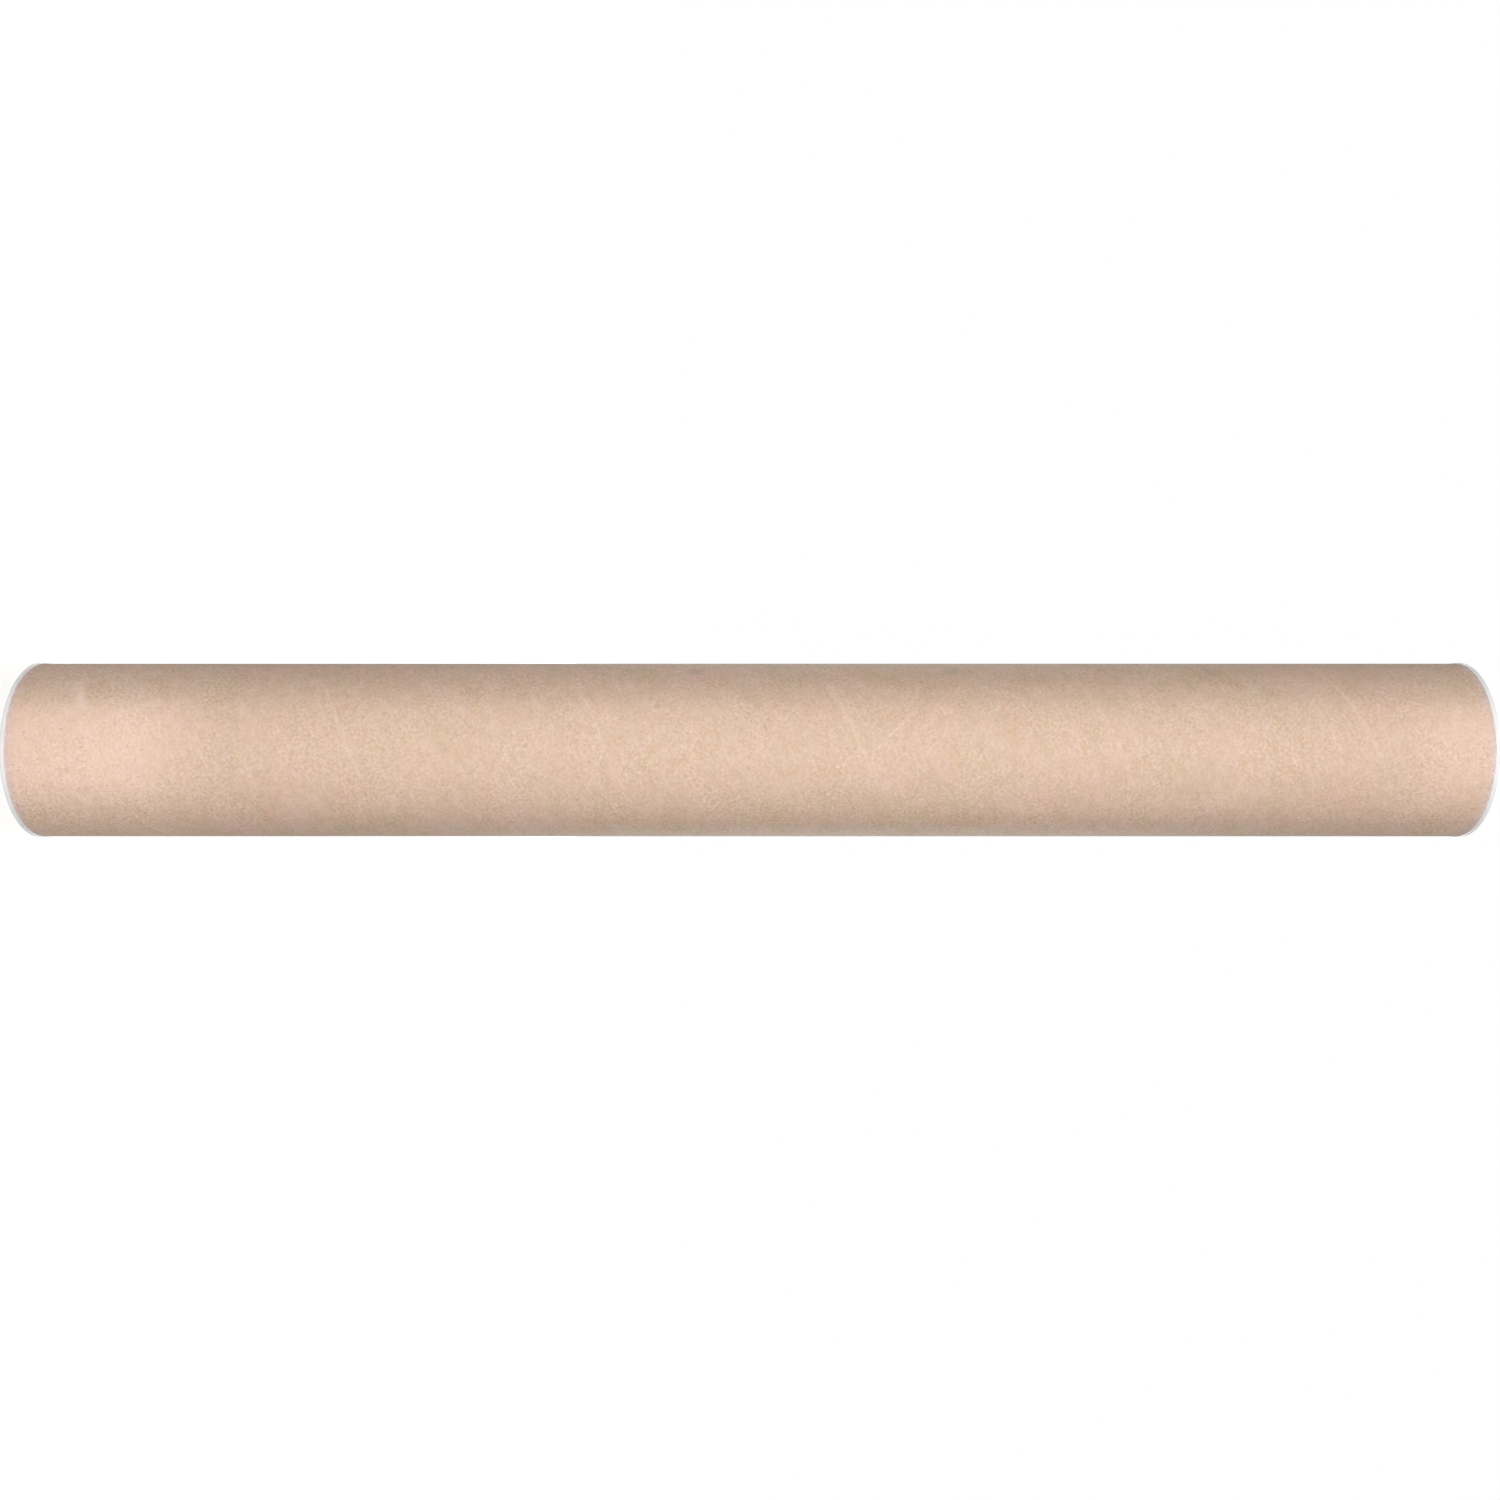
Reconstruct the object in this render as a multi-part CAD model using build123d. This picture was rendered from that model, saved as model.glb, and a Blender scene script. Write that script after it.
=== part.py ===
from build123d import *
import math
import os

# A spiral-wound paperboard mailing tube, closed at both ends by push-in plastic plugs.
# Lengths are in millimetres and angles in degrees. The tube stands on one end: its axis is +Z,
# and the origin is the middle of the lower plug's rim, on the plane that the tube stands on.

# The wound wall: plies of one thickness, all wound with the same advance for each turn
bore_diameter = 76.2
ply_thickness = 0.35
ply_count = 5
tube_length = 650.0

# The strip that makes the outer ply, and the gap that its edges leave where they meet
strip_width = 101.6
seam_gap = 0.7
outer_seam_start = 148.0

# The inner ply's seam is staggered from the outer one, and a little tighter
inner_seam_gap = 0.5
inner_seam_stagger = 150.0

# The plug's rim, which covers the tube's cut end
rim_thickness = 2.0
rim_overhang = 0.45
rim_outer_round = 0.5
mouth_round = 0.8

# The plug's skirt and the web that closes it, recessed at the skirt's inner end
skirt_depth = 18.0
skirt_wall = 1.4
skirt_clearance = 0.35
skirt_taper = 1.0
skirt_lead_depth = 1.6
skirt_lead_bevel = 0.8
web_thickness = 1.5
web_corner_round = 1.1

# The gate mark that moulding leaves in the middle of the web
gate_diameter = 3.0
gate_height = 0.5

# The plug's rounds are laid out as this many short bevels each, which keeps its facets few
rim_round_steps = 2
recess_round_steps = 1

# The crush ribs that grip the bore
crush_rib_count = 16
crush_rib_width = 1.3
crush_rib_start = 1.5
crush_rib_end = 13.5
crush_rib_lead = 3.0
crush_rib_clearance = 0.05

# How far a seam's cutter runs on past the wall's ends and faces
cut_margin = 6.0
cut_proud = 0.35

bore_radius = bore_diameter / 2
wall_thickness = ply_count * ply_thickness
tube_radius = bore_radius + wall_thickness
full_turn = 360.0

# A strip of this width, gap included, goes once round the tube for each advance along it
strip_angle = math.asin((strip_width + seam_gap) / (2 * math.pi * tube_radius))
seam_pitch = 2 * math.pi * tube_radius * math.tan(strip_angle)


def bottom_aligned_cylinder(radius, height):
    """A cylinder on the Z axis that stands on Z = 0."""
    return Cylinder(radius, height, align=(Align.CENTER, Align.CENTER, Align.MIN))


def seam_cutter(face_radius, depth_side, gap, start_angle):
    """The helical strip that opens a seam one ply deep in the wall's face at face_radius.

    depth_side is -1 for a seam cut inwards from the outer face, and 1 for one cut outwards from the bore.
    start_angle is where the seam leaves the wall's lower end.
    """
    route = Helix(
        pitch=seam_pitch,
        height=tube_length + 2 * cut_margin,
        radius=face_radius,
        center=(0, 0, -cut_margin),
    )
    begin = route @ 0
    across = Plane(origin=begin, x_dir=Vector(begin.X, begin.Y, 0), z_dir=route % 0)
    radial_size = ply_thickness + cut_proud
    radial_middle = depth_side * (ply_thickness - cut_proud) / 2
    section = across * Pos(radial_middle, 0) * Rectangle(radial_size, gap)
    strip = sweep(section, path=route, is_frenet=True)
    lead = full_turn * cut_margin / seam_pitch
    return Rot(0, 0, start_angle - lead) * strip


def wound_tube():
    """The wall, from Z = 0 to its length, with the outer and the inner ply's seams open."""
    wall = bottom_aligned_cylinder(tube_radius, tube_length)
    wall -= bottom_aligned_cylinder(bore_radius, tube_length)
    wall -= seam_cutter(tube_radius, -1, seam_gap, outer_seam_start)
    wall -= seam_cutter(bore_radius, 1, inner_seam_gap, outer_seam_start + inner_seam_stagger)
    return wall


def skirt_radius(height):
    """The skirt's outer radius at a height below the seat, where heights are negative."""
    return bore_radius - skirt_clearance + height * math.tan(math.radians(skirt_taper))


def stepped_round(centre, radius, begin, end, steps):
    """The corners of the short bevels that lay out a round from one angle to another about its centre."""
    angles = [math.radians(begin + (end - begin) * step / steps) for step in range(steps + 1)]
    return [(centre[0] + radius * math.cos(angle), centre[1] + radius * math.sin(angle)) for angle in angles]


def plug_shell():
    """The rim, skirt and web as one turned shape, its seat on Z = 0 and its skirt downwards."""
    rim_radius = tube_radius + rim_overhang
    web_face = web_thickness - skirt_depth
    mouth_radius = skirt_radius(rim_thickness - mouth_round) - skirt_wall
    corner_radius = skirt_radius(web_face + web_corner_round) - skirt_wall
    rim_centre = (rim_radius - rim_outer_round, rim_thickness - rim_outer_round)
    mouth_centre = (mouth_radius + mouth_round, rim_thickness - mouth_round)
    corner_centre = (corner_radius - web_corner_round, web_face + web_corner_round)
    outline = Polyline(
        (0, -skirt_depth),
        (skirt_radius(-skirt_depth) - skirt_lead_bevel, -skirt_depth),
        (skirt_radius(skirt_lead_depth - skirt_depth), skirt_lead_depth - skirt_depth),
        (skirt_radius(0), 0),
        (rim_radius, 0),
        *stepped_round(rim_centre, rim_outer_round, 0, 90, rim_round_steps),
        *stepped_round(mouth_centre, mouth_round, 90, 180, recess_round_steps),
        *stepped_round(corner_centre, web_corner_round, 0, -90, recess_round_steps),
        (0, web_face),
        close=True,
    )
    return revolve(Plane.XZ * make_face(outline), Axis.Z)


def crush_ribs():
    """The ribs round the skirt: a ring with a tapered lead, kept only inside a star of radial bars."""
    root = skirt_radius(-crush_rib_end) - skirt_wall / 2
    crest = bore_radius - crush_rib_clearance
    lead_foot = (skirt_radius(-crush_rib_end), -crush_rib_end)
    outline = Polyline(
        (root, -crush_rib_start),
        (crest, -crush_rib_start),
        (crest, crush_rib_lead - crush_rib_end),
        lead_foot,
        (root, -crush_rib_end),
        close=True,
    )
    ring = revolve(Plane.XZ * make_face(outline), Axis.Z)
    bar = Box(tube_radius, crush_rib_width, skirt_depth, align=(Align.MIN, Align.CENTER, Align.MAX))
    bars = [Rot(0, 0, full_turn * step / crush_rib_count) * bar for step in range(crush_rib_count)]
    return [ring & one for one in bars]


def end_plug():
    """One plug, with its seat on Z = 0, its skirt downwards and its rim on top."""
    plug = plug_shell() + crush_ribs()
    gate = Pos(0, 0, web_thickness - skirt_depth) * bottom_aligned_cylinder(gate_diameter / 2, gate_height)
    return plug + gate


plug = end_plug()
nodes = {
    "tube": Pos(0, 0, rim_thickness) * wound_tube(),
    "top_plug": Pos(0, 0, rim_thickness + tube_length) * plug,
    "bottom_plug": Pos(0, 0, rim_thickness) * Rot(180, 0, 0) * plug,
}

os.makedirs("parts", exist_ok=True)
for name, shape in nodes.items():
    export_step(shape, f"parts/{name}.step")

print("advance for each turn", round(seam_pitch, 2), "overall length", tube_length + 2 * rim_thickness)
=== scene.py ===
"""A spiral-wound mailing tube with a push-in plug in each end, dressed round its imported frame.

The tube stands on one end with its axis on Z, and every length is in metres. The camera looks
at it from -Y and is rolled by a quarter turn, so the upper end is at the picture's right.
"""

import logging
import math
from abc import ABC, abstractmethod
from dataclasses import dataclass, field
from enum import Enum
from functools import cached_property, reduce
from typing import Any, ClassVar, NamedTuple

import bmesh
import bpy
from mathutils import Matrix, Vector

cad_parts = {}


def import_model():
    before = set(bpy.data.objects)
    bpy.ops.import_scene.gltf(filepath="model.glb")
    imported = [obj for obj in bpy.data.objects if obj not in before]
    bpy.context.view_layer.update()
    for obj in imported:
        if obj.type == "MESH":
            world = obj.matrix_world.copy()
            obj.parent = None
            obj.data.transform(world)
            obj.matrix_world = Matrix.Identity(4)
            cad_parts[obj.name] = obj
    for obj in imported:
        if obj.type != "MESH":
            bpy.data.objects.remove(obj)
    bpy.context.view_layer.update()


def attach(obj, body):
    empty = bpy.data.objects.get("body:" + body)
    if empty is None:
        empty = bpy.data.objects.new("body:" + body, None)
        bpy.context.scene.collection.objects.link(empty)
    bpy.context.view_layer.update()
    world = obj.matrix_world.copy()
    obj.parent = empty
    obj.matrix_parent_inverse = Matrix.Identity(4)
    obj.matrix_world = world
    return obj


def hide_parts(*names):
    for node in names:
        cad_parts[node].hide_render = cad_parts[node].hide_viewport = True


LOG = logging.getLogger("mailing_tube")
STRIP_MAP = "strip"
MILLIMETRE = 0.001
FULL_TURN = 2 * math.pi
WHITE = (1.0, 1.0, 1.0, 1.0)
NODE_SPACING = (220, -260)
NODES_IN_A_ROW = 12
SPECK_RAGGEDNESS = 0.7
SPECK_SOFTNESS = 0.4
SPECK_DRAW = (0.55, 1.0)
FIBRE_SQUEEZE = (0.22, 1.0, 1.0)
INPUT_KINDS = {float: "NodeSocketFloat", int: "NodeSocketInt", bpy.types.Object: "NodeSocketObject"}

Colour = tuple[float, float, float, float]
Point = tuple[float, float, float]
Pair = tuple[float, float]
Feeds = dict[str | int, Any]


class Facing(Enum):
    """Which way a plug's outer face looks."""

    UP = 1
    DOWN = -1


class Blobs(NamedTuple):
    """A noise: the size of its blobs in metres, its finer layers, and how strong those are."""

    size: float
    layers: float = 2.0
    strength: float = 0.5


class Step(NamedTuple):
    """A smooth step: it goes from first to last as what it follows goes from low to high."""

    low: float
    high: float
    first: float = 0.0
    last: float = 1.0


class Mottle(NamedTuple):
    """A noise that is carried through a smooth step."""

    blobs: Blobs
    step: Step


class Specks(NamedTuple):
    """Specks: how far apart they are, their radius as a share of that, and how strong they are."""

    spacing: float
    share: float
    strength: float


def millimetres(value: float) -> float:
    """Turns millimetres into the scene's metres."""
    return value * MILLIMETRE


# Node trees


@dataclass(frozen=True)
class Wire:
    """What one node hands to the next, with the signs of arithmetic where it is a number."""

    graph: "Graph"
    socket: bpy.types.NodeSocket

    def __add__(self, other: Any) -> "Wire":
        """The sum."""
        return self.graph.math("ADD", self, other)

    def __sub__(self, other: Any) -> "Wire":
        """The difference."""
        return self.graph.math("SUBTRACT", self, other)

    def __rsub__(self, other: Any) -> "Wire":
        """The difference, where a plain number comes first."""
        return self.graph.math("SUBTRACT", other, self)

    def __mul__(self, other: Any) -> "Wire":
        """The product."""
        return self.graph.math("MULTIPLY", self, other)

    def __truediv__(self, other: Any) -> "Wire":
        """The quotient."""
        return self.graph.math("DIVIDE", self, other)

    def __abs__(self) -> "Wire":
        """The number without its sign."""
        return self.graph.math("ABSOLUTE", self)


@dataclass
class Graph:
    """Adds nodes to one tree, feeds them, and sets them out in rows."""

    tree: bpy.types.NodeTree
    count: int = 0

    def node(self, kind: str, feeds: Feeds | None = None, **settings: Any) -> bpy.types.Node:
        """Adds one node.

        Args:
            kind: The node's type name.
            feeds: What goes into each input, by name or number: a wire or a plain value.
            **settings: The node's own properties.

        Returns:
            The new node.
        """
        node = self.tree.nodes.new(kind)
        row, column = divmod(self.count, NODES_IN_A_ROW)
        node.location = (NODE_SPACING[0] * column, NODE_SPACING[1] * row)
        self.count += 1
        for name, value in settings.items():
            setattr(node, name, value)
        for key, value in (feeds or {}).items():
            self.feed(node.inputs[key], value)
        return node

    def feed(self, socket: bpy.types.NodeSocket, value: Any) -> None:
        """Links a wire to an input, or sets the input to a plain value."""
        if isinstance(value, Wire):
            self.tree.links.new(value.socket, socket)
        else:
            socket.default_value = value

    def wire(self, node: bpy.types.Node, output: str | int = 0) -> Wire:
        """One of a node's outputs."""
        return Wire(self, node.outputs[output])

    def add(self, kind: str, feeds: Feeds | None = None, output: str | int = 0, **settings: Any) -> Wire:
        """Adds one node, and gives one of its outputs."""
        return self.wire(self.node(kind, feeds, **settings), output)

    def math(self, operation: str, *values: Any, clamp: bool = False) -> Wire:
        """One Math node on the values given."""
        return self.add("ShaderNodeMath", dict(enumerate(values)), operation=operation, use_clamp=clamp)

    def most(self, *values: Any) -> Wire:
        """The largest of the values."""
        return reduce(lambda one, other: self.math("MAXIMUM", one, other), values)

    def least(self, *values: Any) -> Wire:
        """The smallest of the values."""
        return reduce(lambda one, other: self.math("MINIMUM", one, other), values)

    def vector(self, operation: str, *values: Any, output: str = "Vector") -> Wire:
        """One Vector Math node on the values given, wires or triples."""
        return self.add("ShaderNodeVectorMath", dict(enumerate(values)), output, operation=operation)

    def scaled(self, vector: Any, factor: Any) -> Wire:
        """A vector times a number."""
        return self.add("ShaderNodeVectorMath", {0: vector, "Scale": factor}, operation="SCALE")

    def axis(self, point: Wire, name: str) -> Wire:
        """One coordinate of a point."""
        return self.add("ShaderNodeSeparateXYZ", {0: point}, name)

    def ramp(self, value: Any, low: float, high: float, first: float = 0.0, last: float = 1.0) -> Wire:
        """A smooth step from first to last, as the value goes from low to high."""
        feeds = dict(enumerate((value, low, high, first, last)))
        return self.add("ShaderNodeMapRange", feeds, interpolation_type="SMOOTHSTEP")


@dataclass
class ShaderGraph(Graph):
    """A material's nodes, with the patterns that its finish is made of."""

    @cached_property
    def place(self) -> Wire:
        """The point in the piece's own coordinates."""
        return self.add("ShaderNodeTexCoord", output="Object")

    @cached_property
    def strip(self) -> Wire:
        """The point on the wound strip, along it and across it."""
        return self.add("ShaderNodeUVMap", uv_map=STRIP_MAP)

    @cached_property
    def from_axis(self) -> Wire:
        """How far the point is from the tube's axis."""
        return self.vector("LENGTH", self.vector("MULTIPLY", self.place, (1.0, 1.0, 0.0)), output="Value")

    def drawn_out(self, along: float) -> Wire:
        """The point on the strip, for a pattern that is drawn out along it by a factor."""
        return self.vector("MULTIPLY", self.strip, (1 / along, 1.0, 1.0))

    def from_nearer_end(self, lower: float, upper: float) -> Wire:
        """How far inwards the point is from the nearer of two heights."""
        middle = (lower + upper) / 2
        return (upper - middle) - abs(self.axis(self.place, "Z") - middle)

    def noise(self, point: Wire, blobs: Blobs, output: str = "Fac") -> Wire:
        """Noise at a point."""
        finer = {"Detail": blobs.layers, "Roughness": blobs.strength}
        return self.add("ShaderNodeTexNoise", {"Vector": point, "Scale": 1 / blobs.size} | finer, output)

    def mottle(self, point: Wire, mottle: Mottle) -> Wire:
        """Noise at a point, carried through its step."""
        return self.ramp(self.noise(point, mottle.blobs), *mottle.step)

    def fibres(self, turn: float, blobs: Blobs) -> Wire:
        """Fine streaks that all lie one way on the strip.

        Args:
            turn: The streaks' turn on the strip, in radians.
            blobs: The noise that they are drawn out of.

        Returns:
            The streaks' noise.
        """
        feeds = {"Vector": self.strip, "Angle": turn}
        turned = self.add("ShaderNodeVectorRotate", feeds, rotation_type="Z_AXIS")
        return self.noise(self.vector("MULTIPLY", turned, FIBRE_SQUEEZE), blobs)

    def specks(self, point: Wire, specks: Specks) -> Wire:
        """Small ragged specks, one in each cell that a draw picks.

        Args:
            point: The point in the coordinates that the cells lie in.
            specks: The specks' spacing and size.

        Returns:
            A mask from 0, paper, to 1, speck.
        """
        spacing, share = specks.spacing, specks.share
        ragged = self.noise(point, Blobs(spacing / 4, 1.0), "Color")
        shift = self.vector("SUBTRACT", ragged, (0.5, 0.5, 0.5))
        moved = self.vector("ADD", point, self.scaled(shift, SPECK_RAGGEDNESS * share * spacing))
        cells = self.node("ShaderNodeTexVoronoi", {"Vector": moved, "Scale": 1 / spacing})
        drawn = self.add("ShaderNodeSeparateColor", {0: self.wire(cells, "Color")})
        size = self.ramp(drawn, *SPECK_DRAW) * share
        return self.ramp(size - self.wire(cells, "Distance"), 0.0, SPECK_SOFTNESS * share)

    def blend(self, factor: Any, under: Any, over: Any) -> Wire:
        """Lays one colour over another by a factor."""
        return self.add("ShaderNodeMix", {0: factor, 6: under, 7: over}, 2, data_type="RGBA")

    def lift(self, colour: Any, amount: Any, tint: Point) -> Wire:
        """Adds a tint to a colour, by an amount that varies over the surface and can be below 0."""
        return self.vector("ADD", colour, self.scaled(tint, amount))

    def relief(self, *layers: tuple[Wire, float]) -> Wire:
        """A bumped normal.

        Args:
            *layers: Each layer's height, from 0 to 1, and how deep that is in metres.

        Returns:
            The normal, with the later layers on top of the earlier ones.
        """
        under: dict[str, Wire] = {}
        for height, depth in layers:
            under = {"Normal": self.add("ShaderNodeBump", {"Height": height, "Distance": depth} | under)}
        return under["Normal"]

    def distance_to_line(self, begin: Point, end: Point) -> Wire:
        """How far the point is from a straight mark.

        Args:
            begin: Where the mark begins.
            end: Where it ends.

        Returns:
            The distance in metres.
        """
        run = Vector(end) - Vector(begin)
        away = self.vector("SUBTRACT", self.place, begin)
        along = self.vector("DOT_PRODUCT", away, tuple(run / run.length_squared), output="Value")
        foot = self.scaled(tuple(run), self.math("MULTIPLY", along, 1.0, clamp=True))
        return self.vector("DISTANCE", away, foot, output="Value")


def emptied(owner: bpy.types.Material | bpy.types.World) -> bpy.types.NodeTree:
    """Turns on the nodes of a material or a world and clears its tree.

    Args:
        owner: The material or the world.

    Returns:
        The tree, with no nodes in it.
    """
    owner.use_nodes = True
    owner.node_tree.nodes.clear()
    return owner.node_tree


# Finishes


@dataclass(frozen=True)
class Finish(ABC):
    """A finish: its own colours and sizes, and the material that they make."""

    name: ClassVar[str]

    @abstractmethod
    def surface(self, graph: ShaderGraph) -> dict[str, Any]:
        """Lays out the finish's nodes.

        Args:
            graph: The material's graph.

        Returns:
            What goes into each of the shader's inputs.
        """

    def material(self) -> bpy.types.Material:
        """Builds the finish's material.

        Returns:
            The material, which is named for the finish.
        """
        material = bpy.data.materials.new(self.name)
        graph = ShaderGraph(emptied(material))
        shader = graph.node("ShaderNodeBsdfPrincipled")
        graph.node("ShaderNodeOutputMaterial", {"Surface": graph.wire(shader)})
        for label, value in self.surface(graph).items():
            graph.feed(shader.inputs[label], value)
        return material


class Mark(NamedTuple):
    """A pale line of raw fibre on the side that the camera sees.

    Its begin and end are each a place up the picture from the tube's axis, and a height.
    """

    begin: Pair
    end: Pair
    width: float
    strength: float


@dataclass(frozen=True)
class KraftLiner(Finish):
    """The outer ply's paper: a warm, lightly mottled kraft with a fine orange-peel grain."""

    name: ClassVar[str] = "kraft_liner"
    wall: "WoundWall"
    rosy: Colour = (0.788, 0.545, 0.430, 1.0)
    olive: Colour = (0.722, 0.534, 0.388, 1.0)
    # painted light: the ends are painted paler and pinker, as if lit more
    painted_end_light: Colour = (0.945, 0.675, 0.538, 1.0)
    # raw fibre; along the seam it is also a painted highlight, and painted light in the groove
    raw_fibre_and_highlight: Colour = (0.960, 0.745, 0.615, 1.0)
    shive: Colour = (0.390, 0.330, 0.230, 1.0)
    smudge: Colour = (0.420, 0.340, 0.260, 1.0)
    # painted shade on the paper beside the plugs' rims
    painted_rim_shade: Colour = (0.775, 0.608, 0.585, 1.0)
    grain_tint: Point = (0.81, 0.87, 1.0)
    warm_tint: Point = (0.020, 0.002, -0.036)

    # The patches of colour, the grain and the fibres
    cloud: Blobs = Blobs(millimetres(38), 3.0, 0.6)
    patch: Blobs = Blobs(millimetres(9), 2.0, 0.55)
    patch_stretch: float = 2.4
    grain: Blobs = Blobs(millimetres(1.45), 3.0, 0.68)
    fibre: Blobs = Blobs(millimetres(0.42), 1.0)
    fibre_turns: tuple[float, ...] = (0.9, -0.6, 2.3)

    # How far the hue swings, and what the corners take off it and off the ends' paleness
    hue_swing: float = 2.4
    corner_hue: float = -0.6
    corner_paleness: float = -0.5

    # How much lighter, darker or warmer each pattern makes the paper, and how much more at its sides
    grain_shade: Step = Step(0.25, 0.75, -0.085, 0.08)
    fibre_shade: Step = Step(0.45, 0.80, -0.025, 0.055)
    evenness: Mottle = Mottle(Blobs(millimetres(26)), Step(0.35, 0.65, 0.65, 1.15))
    blotch: Mottle = Mottle(Blobs(millimetres(15), 3.0, 0.7), Step(0.3, 0.7, -0.024, 0.024))
    flock: Mottle = Mottle(Blobs(millimetres(5), 2.0, 0.6), Step(0.3, 0.7, -0.028, 0.028))
    warmth: Mottle = Mottle(Blobs(millimetres(1.3), 3.0, 0.68), Step(0.25, 0.75, -1.0, 1.0))
    side_reach: Pair = (0.3, 0.75)
    side_grain: float = 0.20
    corner_grain: float = 0.45
    side_blotch: Pair = (0.7, 0.5)

    # The relief and the gloss
    grain_depth: float = millimetres(0.06)
    fibre_depth: float = millimetres(0.02)
    roughness: Step = Step(0.3, 0.7, 0.72, 0.60)
    gloss: float = 0.22

    # The painted light that makes the ends paler, and the bands of painted shade beside the rims
    lower_fade: Step = Step(millimetres(45), millimetres(100), 0.85, 0.0)
    upper_fade: Step = Step(millimetres(7.5), millimetres(50), 0.5, 0.0)
    rim_shade_band: Mottle = Mottle(
        Blobs(millimetres(3.5), 3.0, 0.65),
        Step(0.3, 0.7, millimetres(2.4), millimetres(6)),
    )
    rim_shade_fade: Step = Step(0.1, 1.0, 0.7, 0.0)

    # The specks of bark, and the thin shives, which show more towards the ends
    bark: Specks = Specks(millimetres(9), 0.13, 0.28)
    bark_stretch: float = 1.4
    shives: Specks = Specks(millimetres(1.3), 0.30, 0.22)
    shive_crowding: float = 0.35
    shive_squeeze: Point = (1.0, 1.0, 0.4)

    # The seam's frayed edges with their painted highlight, which fades towards the sides, and the painted
    # light that lifts its shallow groove's shade
    wander: Blobs = Blobs(millimetres(8), 4.0, 0.7)
    fray: Blobs = Blobs(millimetres(2.4), 3.0, 0.7)
    seam_reach: Step = Step(0.30, 0.70, millimetres(1.15), millimetres(2.3))
    seam_wander: float = millimetres(1.2)
    seam_falloff: float = 1.3
    seam_strength: Step = Step(0.32, 0.68, 0.05, 0.45)
    # the groove's painted light, and the sides towards which the seam's painted highlight fades
    groove_light_fade: Step = Step(millimetres(0.35), millimetres(0.7), 1.0, 0.0)
    groove_light_strength: Step = Step(0.35, 0.62, 0.05, 0.28)
    seam_highlight_sides: tuple[Step, Step] = (Step(0.004, 0.022, 1.0, 0.2), Step(-0.034, -0.022, 0.2, 1.0))

    # The scuff, whose heights are over the first seam, and two light scratches, all broken by the fray
    broken: Step = Step(0.35, 0.62, 0.25, 1.0)
    scuff: Mark = Mark((0.0290, 0.0035), (0.0200, 0.0030), 0.0038, 0.60)
    scratches: tuple[Mark, ...] = (
        Mark((0.0051, 0.3868), (0.0117, 0.3940), 0.0006, 0.45),
        Mark((0.0042, 0.4274), (0.0117, 0.4365), 0.0006, 0.38),
    )

    # The darker streak, and the smudges: each one's place up the picture, its height and its reach
    dark_streak_side: float = millimetres(27)
    dark_streak_fade: Step = Step(millimetres(2.5), millimetres(10), 0.5, 0.0)
    smudge_fade: Step = Step(0.2, 1.0, 1.0, 0.0)
    smear: Mottle = Mottle(Blobs(millimetres(5)), Step(0.3, 0.7, 0.21, 0.42))
    smudges: tuple[Point, ...] = (
        (0.0351, 0.3017, 0.0065),
        (0.0351, 0.4182, 0.0065),
        (0.0351, 0.5347, 0.0065),
        (0.0196, 0.2861, 0.0024),
        (0.0196, 0.5134, 0.0024),
        (-0.0020, 0.0250, 0.0016),
        (-0.0085, 0.0290, 0.0014),
    )

    def surface(self, graph: ShaderGraph) -> dict[str, Any]:
        """Lays out the paper: its mottled colour, then its grain, then its specks, smudges and raw fibre,
        with the seam's painted highlight.

        Args:
            graph: The material's graph.

        Returns:
            What goes into each of the shader's inputs.
        """
        ends = self.end_mask(graph)
        side = self.side_mask(graph)
        grain = graph.noise(graph.strip, self.grain)
        fibre = graph.most(*(graph.fibres(turn, self.fibre) for turn in self.fibre_turns))
        colour = self.mottled(graph, ends, side)
        colour = graph.lift(colour, self.shade(graph, grain, fibre, ends, side), self.grain_tint)
        colour = graph.lift(colour, graph.mottle(graph.place, self.warmth), self.warm_tint)
        colour = graph.blend(self.speck_mask(graph, ends), colour, self.shive)
        colour = graph.blend(self.smudge_mask(graph), colour, self.smudge)
        return {
            "Base Color": graph.blend(self.fibre_and_highlight_mask(graph), colour, self.raw_fibre_and_highlight),
            "Roughness": graph.ramp(grain, *self.roughness),
            "Normal": graph.relief((grain, self.grain_depth), (fibre, self.fibre_depth)),
            "Specular IOR Level": self.gloss,
        }

    def mottled(self, graph: ShaderGraph, ends: Wire, side: Wire) -> Wire:
        """The paper's colour before its grain: rosy and olive patches, painted light that makes the ends
        paler, and painted shade beside the rims.

        Args:
            graph: The material's graph.
            ends: Where the ends are.
            side: Where the tube's left and right sides are.

        Returns:
            The colour.
        """
        patch = graph.noise(graph.drawn_out(self.patch_stretch), self.patch)
        tone = patch * 0.5 + graph.noise(graph.place, self.cloud) * 0.5
        corner = side * ends
        swing = side * self.hue_swing + self.hue_swing
        hue = (tone - 0.5) * swing + (corner * self.corner_hue + 0.5)
        colour = graph.blend(hue, self.olive, self.rosy)
        # painted light that makes the ends paler, less so at the corners
        colour = graph.blend(corner * self.corner_paleness + ends, colour, self.painted_end_light)
        # painted shade in a narrow band beside each rim
        return graph.blend(self.rim_shade_mask(graph), colour, self.painted_rim_shade)

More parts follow.
